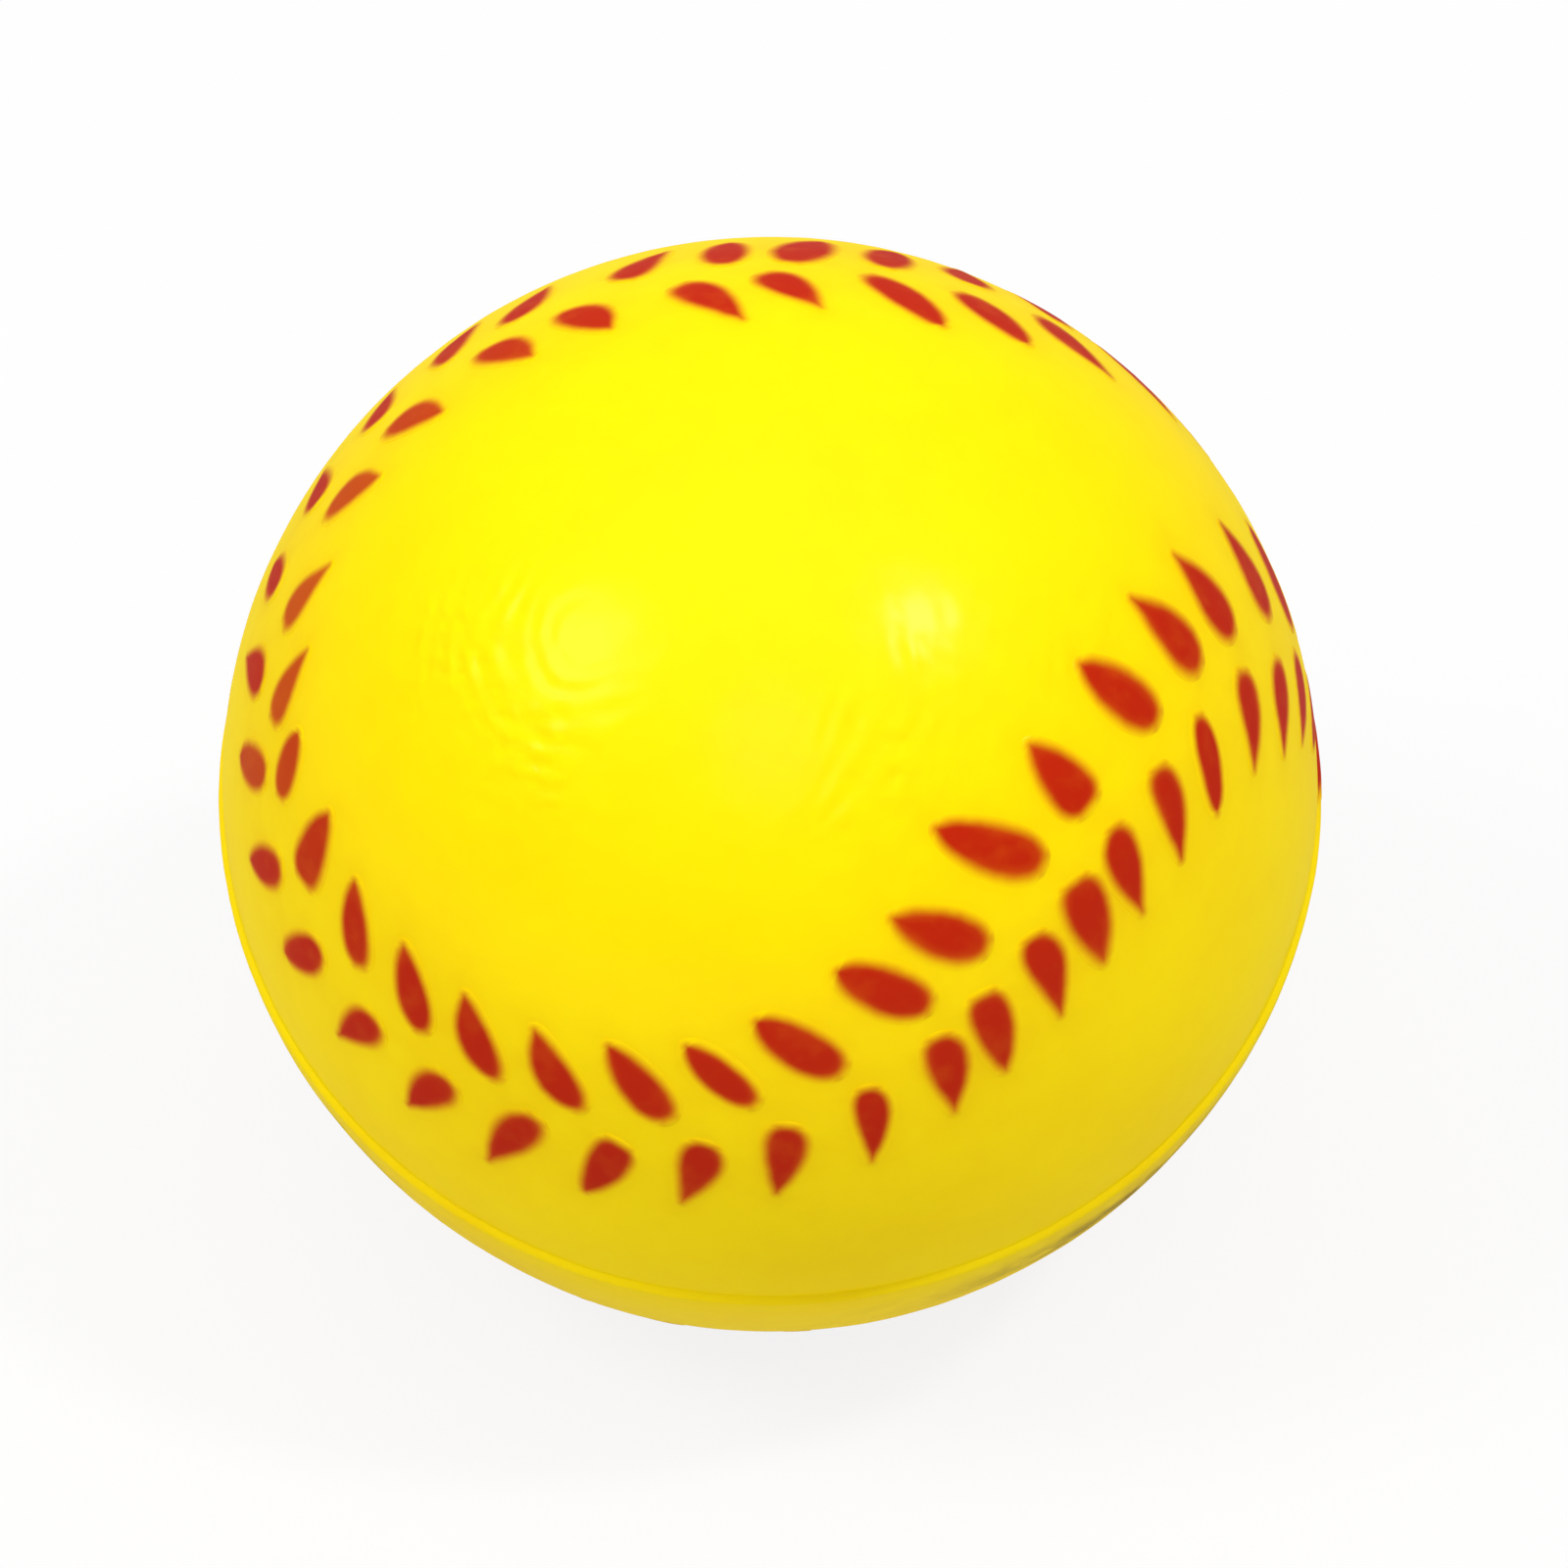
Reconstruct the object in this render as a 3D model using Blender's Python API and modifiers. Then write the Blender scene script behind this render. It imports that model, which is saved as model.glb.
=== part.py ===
"""Foam training baseball: a soft core, a skin in two mould halves and sprayed stitch marks.

Metres, +Z up. The origin is the middle of the small flat that the ball rests on.
"""

import math

import bmesh
import bpy
import numpy as np
from mathutils import Vector

# Ball
BALL_DIAMETER = 0.072
SKIN_WALL = 0.0015
CORE_CLEARANCE = 0.0003
REST_DEPTH = 0.0004  # how far the foam flattens where it rests

# Mould: its halves meet on a plane through the ball's centre
PARTING_GAP = 0.0003
PARTING_TILT = math.radians(26.3)  # the plane leans down towards -Y
TURN_STEPS = 64
ARC_STEPS = 16  # from a half's pole to its rim

# Seam line: a closed wave round the ball's centre, carried straight out to the skin. Its round part
# counts as 1
SEAM_LOOP = 0.57  # how far the loops swell sideways
SEAM_RISE = 1.10  # how far they swing up and down
SEAM_SHIFT = (0.06, 0.06, 0.33)  # how far the wave lies off the centre
SEAM_TURN = tuple(math.radians(angle) for angle in (-70.4, -22.05, -71.5))
SEAM_SAMPLES = 2400

# Stitch marks: two rows of leaves beside the seam line, each row painted in runs
RUNS_PER_ROW = 22
MARKS_PER_RUN = 3
BARE_BAND = 0.0021  # between the fat ends of the two rows
MARK_LENGTH = 0.0056
MARK_WIDTH = 0.0027
MARK_LEAN = math.radians(28)  # how far the tips lean back from square to the seam
MARK_FULLEST = 0.35  # where a mark is widest, as a share of its length from the fat end
FILM_GAP = 0.00006
FILM_THICKNESS = 0.00012
OVERSPRAY_WIDTH = 0.00016  # the hair of paint between the marks of a run
MARK_STATIONS = (0.0, 0.12, 0.4, 0.74, 1.0)
LINK_STEPS = 3

# Uneven spacing of each row, counted in even pitches: where its first mark lies along the seam, and
# how far the marks drift (sine, cosine) over one, two, three and four waves round the seam
ROW_A_START = 43.67
ROW_A_DRIFT = ((0.24, -0.28), (-0.03, -0.17), (-0.04, -0.07), (-0.07, -0.09))
ROW_B_START = 44.01
ROW_B_DRIFT = ((0.06, 0.83), (0.24, -0.12), (-0.15, -0.03), (0.06, 0.13))

# Finishes: colour and roughness
SKIN_FINISH = ((0.93, 0.74, 0.01, 1.0), 0.38)
FOAM_FINISH = ((0.88, 0.80, 0.45, 1.0), 0.9)
PAINT_FINISH = ((0.54, 0.02, 0.01, 1.0), 0.5)

# Mesh settings
SHARP_ANGLE = math.radians(40)
POLE_MERGE = 0.00001

BALL_RADIUS = BALL_DIAMETER / 2
CORE_RADIUS = BALL_RADIUS - SKIN_WALL - CORE_CLEARANCE
CENTRE_HEIGHT = BALL_RADIUS - REST_DEPTH
MARKS_PER_ROW = RUNS_PER_ROW * MARKS_PER_RUN
ROW_OFFSET = BARE_BAND / 2 + MARK_LENGTH / 2 * math.cos(MARK_LEAN)  # seam line to a mark's middle
FILM_RADIUS = BALL_RADIUS + FILM_GAP


def clear_scene():
    for obj in list(bpy.data.objects):
        bpy.data.objects.remove(obj, do_unlink=True)


def new_collection(name):
    collection = bpy.data.collections.new(name)
    bpy.context.scene.collection.children.link(collection)
    return collection


def new_material(name, finish):
    colour, roughness = finish
    material = bpy.data.materials.new(name)
    material.use_nodes = True
    shader = material.node_tree.nodes["Principled BSDF"]
    shader.inputs["Base Color"].default_value = colour
    shader.inputs["Roughness"].default_value = roughness
    shader.inputs["Metallic"].default_value = 0.0
    return material


def new_object(name, mesh, collection, parent=None, material=None):
    obj = bpy.data.objects.new(name, mesh)
    collection.objects.link(obj)
    obj.parent = parent
    if material:
        mesh.materials.append(material)
    return obj


def new_empty(name, collection, parent=None):
    empty = bpy.data.objects.new(name, None)
    empty.empty_display_size = BALL_RADIUS / 3
    collection.objects.link(empty)
    empty.parent = parent
    return empty


def mesh_from(bm, name):
    mesh = bpy.data.meshes.new(name)
    bm.to_mesh(mesh)
    bm.free()
    mesh.shade_smooth()
    mesh.set_sharp_from_angle(angle=SHARP_ANGLE)
    return mesh


def arc(radius, rise):
    """Points on an arc about the centre, from the pole at the top down to the height rise."""
    end = math.acos(rise / radius)
    angles = [end * step / ARC_STEPS for step in range(ARC_STEPS + 1)]
    return [(radius * math.sin(angle), radius * math.cos(angle)) for angle in angles]


def turned(name, profile, collection, parent, material):
    """A body of revolution about Z from a profile of (radius, height) points, top to bottom."""
    bm = bmesh.new()
    points = [bm.verts.new((radius, 0, height)) for radius, height in profile]
    for first, second in zip(points, points[1:]):
        bm.edges.new((first, second))
    mesh = bpy.data.meshes.new(name)
    bm.to_mesh(mesh)
    bm.free()
    obj = new_object(name, mesh, collection, parent, material)
    screw = obj.modifiers.new("turn", "SCREW")
    screw.axis = "Z"
    screw.angle = math.tau
    screw.steps = screw.render_steps = TURN_STEPS
    screw.use_merge_vertices = True
    screw.merge_threshold = POLE_MERGE
    screw.use_smooth_shade = True
    return obj


def add_core(collection, parent, material):
    upper = arc(CORE_RADIUS, 0.0)
    lower = [(radius, -height) for radius, height in reversed(upper[:-1])]
    return turned("foam_core", upper + lower, collection, parent, material)


def add_skin_half(name, collection, parent, material):
    """An open bowl of even wall, rim down, with half the parting gap under its rim."""
    outer = arc(BALL_RADIUS, PARTING_GAP / 2)
    inner = arc(BALL_RADIUS - SKIN_WALL, PARTING_GAP / 2)
    return turned(name, outer + inner[::-1], collection, parent, material)


def flatten_rest(skin_half, cutters):
    """Cuts the skin flat at the height where the ball rests."""
    bm = bmesh.new()
    bmesh.ops.create_cube(bm, size=BALL_DIAMETER)
    bmesh.ops.translate(bm, verts=bm.verts, vec=(0, 0, -BALL_RADIUS))
    cutter = new_object("rest_cutter", mesh_from(bm, "rest_cutter"), cutters)
    cutter.hide_render = True
    cutter.display_type = "WIRE"
    cut = skin_half.modifiers.new("rest_flat", "BOOLEAN")
    cut.operation = "DIFFERENCE"
    cut.solver = "EXACT"
    cut.object = cutter


class Seam:
    """The seam line on a sphere of radius 1, measured by its length on the ball."""

    def __init__(self):
        turn = np.linspace(0, math.tau, SEAM_SAMPLES + 1)
        east = np.cos(turn) + SEAM_LOOP * np.cos(3 * turn)
        north = np.sin(turn) - SEAM_LOOP * np.sin(3 * turn)
        up = SEAM_RISE * np.sin(2 * turn)
        wave = np.column_stack([east, north, up]) + SEAM_SHIFT
        self.points = wave / np.linalg.norm(wave, axis=1, keepdims=True)
        steps = np.linalg.norm(np.diff(self.points, axis=0), axis=1)
        self.along = BALL_RADIUS * np.concatenate([[0], np.cumsum(steps)])
        self.length = self.along[-1]

    def at(self, along):
        """Unit vector to the seam line at a distance along it."""
        place = along % self.length
        found = [np.interp(place, self.along, column) for column in self.points.T]
        return Vector(found).normalized()

    def beside(self, along, across):
        """Unit vector to a point beside the seam line: across is positive on row A's side."""
        step = self.length / SEAM_SAMPLES
        here = self.at(along)
        ahead = (self.at(along + step) - self.at(along - step)).normalized()
        angle = across / BALL_RADIUS
        return here * math.cos(angle) + here.cross(ahead) * math.sin(angle)


def mark_places(seam, start, drift):
    """Where the marks of a row lie along the seam."""
    pitch = seam.length / MARKS_PER_ROW
    places = []
    for index in range(MARKS_PER_ROW):
        wave = math.tau * index / MARKS_PER_ROW
        sway = 0.0
        for order, (sine, cosine) in enumerate(drift, start=1):
            sway += sine * math.sin(order * wave) + cosine * math.cos(order * wave)
        places.append(pitch * (start + index + sway))
    return places


def half_width(share):
    """Half the width of a mark at a share of its length: round at the fat end, drawn out at the tip."""
    if share < MARK_FULLEST:
        swell = math.sqrt(1 - (1 - share / MARK_FULLEST) ** 2)
    else:
        swell = math.cos(math.pi / 2 * (share - MARK_FULLEST) / (1 - MARK_FULLEST))
    return max(MARK_WIDTH * swell, OVERSPRAY_WIDTH) / 2


def mark_line(seam, along, side):
    """The middle line of one mark, fat end first, as (unit vector, half width) stations."""
    line = []
    for share in MARK_STATIONS:
        reach = (share - 0.5) * MARK_LENGTH
        across = side * (ROW_OFFSET + reach * math.cos(MARK_LEAN))
        line.append((seam.beside(along - reach * math.sin(MARK_LEAN), across), half_width(share)))
    return line


def run_line(seam, places, side):
    """The middle line of a run: each second mark is turned round, and hairs of paint join their ends."""
    line = []
    for index, along in enumerate(places):
        mark = mark_line(seam, along, side)
        if index % 2:
            mark.reverse()
        if line:
            last = line[-1][0]
            for step in range(1, LINK_STEPS):
                between = last.lerp(mark[0][0], step / LINK_STEPS).normalized()
                line.append((between, OVERSPRAY_WIDTH / 2))
        line += mark
    return line


def add_run(name, line, collection, parent, material):
    """A thin film on the skin along a middle line: a strip bent over the ball, then thickened outwards."""
    bm = bmesh.new()
    last = len(line) - 1
    bmesh.ops.create_grid(bm, x_segments=last, y_segments=1, size=1)
    for vert in bm.verts:
        index = round((vert.co.x + 1) / 2 * last)
        middle, width = line[index]
        before = line[max(index - 1, 0)][0]
        after = line[min(index + 1, last)][0]
        sideways = middle.cross(after - before).normalized()
        side = math.copysign(width, vert.co.y)
        vert.co = (middle * FILM_RADIUS + sideways * side).normalized() * FILM_RADIUS
    raised = bmesh.ops.extrude_face_region(bm, geom=bm.faces[:])["geom"]
    growth = 1 + FILM_THICKNESS / FILM_RADIUS
    verts = [item for item in raised if isinstance(item, bmesh.types.BMVert)]
    bmesh.ops.scale(bm, verts=verts, vec=(growth, growth, growth))
    bmesh.ops.recalc_face_normals(bm, faces=bm.faces[:])
    return new_object(name, mesh_from(bm, name), collection, parent, material)


def add_row(letter, side, start, drift, seam, collection, parent, material):
    places = mark_places(seam, start, drift)
    for number, first in enumerate(range(0, MARKS_PER_ROW, MARKS_PER_RUN), start=1):
        line = run_line(seam, places[first : first + MARKS_PER_RUN], side)
        add_run(f"stitch_row_{letter}_{number:02d}", line, collection, parent, material)


def main():
    clear_scene()
    parts = new_collection("foam_training_baseball")
    cutters = new_collection("cutters")
    foam = new_material("foam", FOAM_FINISH)
    skin = new_material("skin", SKIN_FINISH)
    paint = new_material("stitch_paint", PAINT_FINISH)

    centre = new_empty("ball_centre", parts)
    centre.location.z = CENTRE_HEIGHT

    mould = new_empty("mould_frame", parts, centre)
    mould.rotation_euler.x = PARTING_TILT
    add_core(parts, mould, foam)
    add_skin_half("skin_upper_half", parts, mould, skin)
    lower = add_skin_half("skin_lower_half", parts, mould, skin)
    lower.rotation_euler.x = math.pi
    flatten_rest(lower, cutters)

    seam_frame = new_empty("seam_frame", parts, centre)
    seam_frame.rotation_euler = SEAM_TURN
    seam = Seam()
    add_row("a", 1, ROW_A_START, ROW_A_DRIFT, seam, parts, seam_frame, paint)
    add_row("b", -1, ROW_B_START, ROW_B_DRIFT, seam, parts, seam_frame, paint)


main()
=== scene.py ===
"""Foam training baseball: a soft core, a moulded skin in two halves and two rows of sprayed stitch marks."""

import math
import random

import bmesh
import bpy
import numpy as np
from mathutils import Euler, Matrix, Vector, noise


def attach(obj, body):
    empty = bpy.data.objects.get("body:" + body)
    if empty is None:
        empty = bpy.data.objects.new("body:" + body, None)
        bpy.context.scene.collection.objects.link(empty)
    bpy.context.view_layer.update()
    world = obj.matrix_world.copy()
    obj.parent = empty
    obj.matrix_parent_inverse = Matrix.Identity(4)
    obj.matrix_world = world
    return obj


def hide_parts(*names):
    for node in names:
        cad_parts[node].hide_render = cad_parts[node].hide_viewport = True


bl_info = {
    "name": "Foam Training Baseball",
    "version": (1, 0, 0),
    "blender": (4, 5, 0),
    "location": "3D View > Sidebar > Foam Ball",
    "description": "Builds a foam training ball with a moulded skin and sprayed stitch marks",
    "category": "Add Mesh",
}

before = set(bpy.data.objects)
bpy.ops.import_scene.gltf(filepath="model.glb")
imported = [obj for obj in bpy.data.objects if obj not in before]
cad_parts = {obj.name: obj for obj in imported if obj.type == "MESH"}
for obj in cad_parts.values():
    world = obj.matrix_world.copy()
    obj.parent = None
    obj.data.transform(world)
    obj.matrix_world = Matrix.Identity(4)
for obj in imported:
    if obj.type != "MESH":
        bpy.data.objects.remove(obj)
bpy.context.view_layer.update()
BODY = "root"

# Mould. Rows and steps set how fine the mesh is
PARTING_TILT = math.radians(26.3)  # the parting plane leans down towards the camera side
LIP_ROWS = 8
RIM_ROWS = 13
RIM_ROW_STEP = 0.00016
ARC_ROW_STEP = 0.00038
INNER_ROWS = 10
TURN_STEPS = 512
POLE_MERGE = 0.000001
SHARP_ANGLE = math.radians(40)
SKIN_GLOSS = 0.1  # weight of the thin gloss that the mould leaves
SKIN_BLUR = 0.22  # roughness of that gloss

# Foam core
CORE_DIVISIONS = 6
PORE_SCALE = 26  # pores to a radius of the ball
PORE_REACH = 0.5  # in spacings of the pores
PORE_DEPTH = 0.0004

# Unevenness of the skin. Scales count waves to a radius of the ball
NOISE_SEED = 7  # the noise that bends the wrinkles starts from the clock where it isn't set
WAVE_SCALE = 3.1
CLOSE_WAVE_SCALE = 8.3
CLOSE_WAVE_SHARE = 0.4
WRINKLE_SCALE = 27
WRINKLE_BEND_SCALE = 8
WRINKLE_BEND = 0.8
WRINKLE_LEAST = 0.4  # strength of the wrinkles outside the patches
WRINKLE_GAIN = 0.4
# Patches of the skin that are wrinkled most: direction from the ball's centre, reach in radii, strength
WRINKLE_PATCHES = (
    (Vector((-0.54, -0.45, 0.71)), 0.15, 3.0),
    (Vector((-0.39, -0.67, 0.63)), 0.12, 3.2),
    (Vector((0.20, -0.72, 0.66)), 0.18, 2.0),
    (Vector((0.54, -0.45, 0.71)), 0.13, 1.4),
    (Vector((0.70, 0.60, 0.35)), 0.30, 1.2),
    (Vector((-0.45, 0.85, -0.10)), 0.30, 1.0),
)
# Ripples in those patches: rings round one point, which noise bends and breaks up
RIPPLE_HEART = Vector((-0.31, -0.53, 0.79))
RIPPLE_PITCH = 0.042  # in radii of the ball
RIPPLE_SWAY_SCALE = 7
RIPPLE_SWAY = 5  # in radians of a ripple's wave
RIPPLE_BREAK_SCALE = 13
RIPPLE_BREAK = 0.9
RIPPLE_MEAN = 0.25
# Painted shade under the lip: how far below it, how wide, and its spells round the mould's axis (middle,
# reach, share)
PAINTED_SHADE_MIDDLE = 0.0052
PAINTED_SHADE_WIDTH = 0.0028
PAINTED_SHADE_SPELLS = ((math.radians(-48), math.radians(20), 0.9), (math.radians(-142), math.radians(9), 0.4))

# Seam line: a closed wave round the ball's centre, carried straight out to the skin
SEAM_LOOP = 0.57
SEAM_RISE = 1.10
SEAM_SHIFT = (0.06, 0.06, 0.33)
SEAM_TURN = tuple(math.radians(angle) for angle in (-70.4, -22.05, -71.5))
SEAM_SAMPLES = 2400

# Rows of marks: where the first mark lies along the seam, in even pitches, and how the spacing drifts
# (sine, cosine) over one, two, three and four waves round the seam, fitted to the photo
MARKS_PER_ROW = 66
RUNS_PER_ROW = 22
ROW_START = {"a": 43.67, "b": 44.01}
ROW_DRIFT = {
    "a": ((0.24, -0.28), (-0.03, -0.17), (-0.04, -0.07), (-0.07, -0.09)),
    "b": ((0.06, 0.83), (0.24, -0.12), (-0.15, -0.03), (0.06, 0.13)),
}
ROW_SIDE = {"a": 1, "b": -1}

# How the marks of a row vary round the seam: mean, then sine and cosine over one and two waves, fitted to the
# photo and rounded. Lengths in millimetres, lean in degrees
ROW_ACROSS = {"a": (3.8, 0, -0.1, -0.5, 0.2), "b": (4.2, -0.2, 0.1, -0.1, 0.2)}
ROW_LENGTH = {"a": (6.2, -0.2, 0.1, -0.7, 0), "b": (5.8, -0.2, 0, -0.4, 0.2)}
ROW_WIDTH = {"a": (2.8, -0.1, -0.1, -0.3, 0.2), "b": (2.6, -0.1, 0.2, -0.1, 0)}
ROW_LEAN = {"a": (27, 3, 3, 10, -4), "b": (26, 0, 0, 5, -2)}

# Shapes that the stencil left: how blunt the fat end is and how drawn out the tip is (powers of the outline's
# curve), and how far the middle bows sideways, in millimetres
LEAVES = {
    "leaf": (0.42, 0.70, 0.10),
    "almond": (0.42, 0.55, 0.08),
    "drop": (0.40, 1.05, 0.20),
    "curl": (0.58, 0.85, 0.45),
    "hook": (0.50, 1.10, -0.25),
    "wedge": (0.27, 0.72, 0.12),
}
# The first marks of each row by the first letters of their shapes; the rest of a row is left to chance
ROW_LEAVES = {"a": "haaddccccddawllcclaaallwlhhh", "b": "aaadhcddahalahhhwddddwdwhdadhd"}
# Marks that lie clearly out of line in the photo, rounded to half a millimetre and ten degrees
UNEVEN = {
    "a2": {"along": -0.5, "length": 1},
    "a4": {"along": -1.5, "across": 1, "length": 1},
    "a6": {"along": -1},
    "a9": {"along": 1},
    "a10": {"along": 1},
    "a11": {"across": -0.5, "length": -1},
    "a12": {"width": 0.5, "lean": -20},
    "a18": {"length": -0.5, "width": -0.5},
    "a20": {"along": 1},
    "a22": {"across": 1, "length": 1},
    "a23": {"length": -1, "lean": -20},
    "a24": {"along": 0.5},
    "a26": {"along": -1},
    "b1": {"length": 1, "width": 0.5},
    "b2": {"along": -0.5, "lean": -20},
    "b3": {"along": -1},
    "b4": {"along": 1},
    "b6": {"length": -1},
    "b7": {"length": -1},
    "b8": {"length": -1.5},
    "b9": {"across": -0.5},
    "b10": {"across": -1},
    "b15": {"length": 1},
    "b19": {"along": 0.5, "width": -0.5},
    "b20": {"along": 1},
    "b23": {"along": -0.5, "width": 0.5},
    "b24": {"along": -1},
    "b25": {"along": -1},
    "b26": {"along": -1, "width": -0.5},
    "b28": {"along": 0.5, "across": 0.5},
}
# Chance that shapes the other marks: usual deviation in millimetres and degrees
CHANCE = {"along": 0.6, "across": 0.4, "length": 0.6, "width": 0.25, "lean": 8}
# Spells of thin paint: middle mark, reach in marks, share of the paint that is missing
THIN_SPELLS = {"a": ((9, 2.3, 0.5), (44, 2, 0.5)), "b": ((10, 0.6, 0.3), (51, 2, 0.5))}
MARK_ASPECT = 4.2  # length over half width of a usual mark
FILM_EDGE = 0.4  # height of a film's edge, in its thickness
MARK_HALF = 0.0014  # half width of a usual mark
NEIGHBOUR_REACH = 0.5  # how far marks can mist each other, in radii of the ball
MARK_ROWS = 12
MARK_COLUMNS = 6
LIP_FINER = 4  # how much finer the grid of a mark is where it crosses the lip
GRID_RIM = 0.999  # past this share of the grid's half width, a point lies on its rim
EDGE_SAMPLES = 61
MIST_END = 6  # how far stray paint is followed, in its reaches
OUTLINE_END = 0.0001  # how near to its ends an outline is worked out, in its length
STEEPEST = 0.7  # most slope of an outline that the distance to it allows for
MM_PER_M = 1000

# Noise of the finishes: waves to a metre, finer layers and, where it isn't the usual one, their strength
SKIN_PATCHES = (70, 3.0)
SKIN_SPECKLE = (420, 2.0)
SKIN_SHINE = (260, 2.0)
SKIN_GRAIN = (1500, 3.0)
SKIN_PEBBLES = (520, 2.0)
SKIN_RIPPLES = (620, 1.5)
# Clouds that break up the painted shade under the lip
SHADE_CLOUDS = (340, 4.0, 0.6)
PAINT_SPECKLE = (1100, 2.0)
PAINT_DRIFT = (260, 1.0)
PAINT_PATCHES = (480, 3.0)
FOAM_CLOUDS = (90, 3.0)
FOAM_CELL_SCALE = 1400
# Ranges of the noise over which a finish changes
SKIN_FADE = (0.35, 0.75)
# Over this range of its clouds the painted shade under the lip comes in
SHADE_FADE = (0.25, 0.65)
PATCH_FADE = (0.45, 0.75)
CELL_FADE = (0.25, 0.6)
# Where the sprayed film begins and is whole, and where its red does, in half widths inside a mark's outline
FILM_FADE = (-0.5, 0.22)
BODY_FADE = (-0.3, 0.4)
EDGE_SPECKLE = 0.1
EDGE_DRIFT = 0.2
BODY_DRIFT = 0.8
PATCH_LOSS = 0.3  # share of the deep red that patches take away
THIN_LOSS = 0.1  # share of the film that is missing where paint is thin
# Roughness: the least, then what noise or the film adds
SKIN_ROUGHNESS = (0.4, 0.1)
PAINT_ROUGHNESS = (0.45, 0.1)
FOAM_ROUGHNESS = (0.86, 0.1)
# Roughness that is added where shade is painted under the lip
SHADE_ROUGHNESS = 0.2
# Heights of the bumps
GRAIN_HEIGHT = 0.000012
CELL_DEPTH = 0.0003

# Stage. The lamps: elevation, azimuth and width in the sky, in degrees
LAMPS = {"left_lamp": (50, -159, 20), "right_lamp": (58, -20, 8), "front_lamp": (48, -90, 24)}
FLOOR_HALF = 6
FLOOR_WHITE = 0.86  # share of plain white in the floor that the camera sees
CEILING_POWER = 4  # how closely the light from above gathers overhead
OUTLINE_PIXELS = 558.5  # radius of the ball's outline in the photo
HALF_WIDTH_PIXELS = 800  # half the width of the photo
WHITE = (1, 1, 1, 1)
# Colour sockets of a Mix node, by number, because their names repeat
MIX_SHARE, MIX_FIRST, MIX_SECOND, MIX_RESULT = 0, 6, 7, 2


class BallSizes(bpy.types.PropertyGroup):
    """Sizes of the ball's core, skin and paint"""

    diameter: bpy.props.FloatProperty(
        name="Diameter", description="Across the skin", default=0.072, unit="LENGTH", precision=4
    )
    wall: bpy.props.FloatProperty(
        name="Skin wall",
        description="Thickness of the dense skin",
        default=0.0015,
        unit="LENGTH",
        precision=4,
    )
    rest_depth: bpy.props.FloatProperty(
        name="Rest depth",
        description="How far the foam flattens where it rests",
        default=0.0004,
        unit="LENGTH",
        precision=4,
    )
    core_clearance: bpy.props.FloatProperty(
        name="Core clearance",
        description="Between the skin and the foam core",
        default=0.0003,
        unit="LENGTH",
        precision=4,
    )
    lip_height: bpy.props.FloatProperty(
        name="Lip height",
        description="How far the lower half stands out at the parting line",
        default=0.00036,
        unit="LENGTH",
        precision=5,
    )
    lip_width: bpy.props.FloatProperty(
        name="Lip width",
        description="Width of the rounded ledge on the lip",
        default=0.0007,
        unit="LENGTH",
        precision=5,
    )
    lip_fade: bpy.props.FloatProperty(
        name="Lip fade",
        description="How far below the parting line the lip runs out",
        default=0.0055,
        unit="LENGTH",
        precision=4,
    )
    waviness: bpy.props.FloatProperty(
        name="Waviness",
        description="Height of the broad unevenness of the moulded skin",
        default=0.00005,
        unit="LENGTH",
        precision=5,
    )
    wrinkle_height: bpy.props.FloatProperty(
        name="Wrinkle height",
        description="Height of the fine wrinkles in the skin",
        default=0.00004,
        unit="LENGTH",
        precision=5,
    )
    film: bpy.props.FloatProperty(
        name="Paint film",
        description="How far the sprayed marks stand out of the skin",
        default=0.00005,
        unit="LENGTH",
        precision=6,
    )
    film_root: bpy.props.FloatProperty(
        name="Film root",
        description="How deep the marks bind into the skin",
        default=0.0001,
        unit="LENGTH",
        precision=5,
    )
    overspray: bpy.props.FloatProperty(
        name="Overspray",
        description="How far a mark's film reaches past its edge",
        default=0.0006,
        unit="LENGTH",
        precision=5,
    )
    mist_reach: bpy.props.FloatProperty(
        name="Mist reach",
        description="Over what distance the stray paint round a mark fades",
        default=0.0010,
        unit="LENGTH",
        precision=5,
    )
    mist_share: bpy.props.FloatProperty(
        name="Mist",
        description="Share of the skin that stray paint covers at a mark's edge",
        default=0.16,
        subtype="FACTOR",
    )


class BallColours(bpy.types.PropertyGroup):
    """Colours of the ball's finishes"""

    skin: bpy.props.FloatVectorProperty(
        name="Skin",
        description="Yellow of the skin",
        default=(0.97, 0.73, 0.001),
        subtype="COLOR",
        min=0,
        max=1,
    )
    skin_deep: bpy.props.FloatVectorProperty(
        name="Skin, deeper",
        description="Deeper yellow of the skin's mottling",
        default=(0.95, 0.68, 0.001),
        subtype="COLOR",
        min=0,
        max=1,
    )
    paint: bpy.props.FloatVectorProperty(
        name="Paint",
        description="Red of the sprayed marks",
        default=(0.475, 0.017, 0.002),
        subtype="COLOR",
        min=0,
        max=1,
    )
    paint_thin: bpy.props.FloatVectorProperty(
        name="Paint, thin",
        description="Orange red where the spray is thin",
        default=(0.58, 0.075, 0.003),
        subtype="COLOR",
        min=0,
        max=1,
    )
    # Painted shade: a dark brown put under the lip where the underside of the ball lies in shade
    grime: bpy.props.FloatVectorProperty(
        name="Lip shade",
        description="Dark shade painted under the lip",
        default=(0.16, 0.07, 0.004),
        subtype="COLOR",
        min=0,
        max=1,
    )
    foam: bpy.props.FloatVectorProperty(
        name="Foam",
        description="Cell walls of the foam core",
        default=(0.88, 0.80, 0.45),
        subtype="COLOR",
        min=0,
        max=1,
    )
    # Painted shade: the darker colour that the hollows of the foam cells take
    foam_hollow_shade: bpy.props.FloatVectorProperty(
        name="Foam cells",
        description="Hollows of the foam core",
        default=(0.62, 0.52, 0.24),
        subtype="COLOR",
        min=0,
        max=1,
    )
    floor: bpy.props.FloatVectorProperty(
        name="Floor", description="Pale floor", default=(0.67, 0.67, 0.67), subtype="COLOR", min=0, max=1
    )


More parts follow.
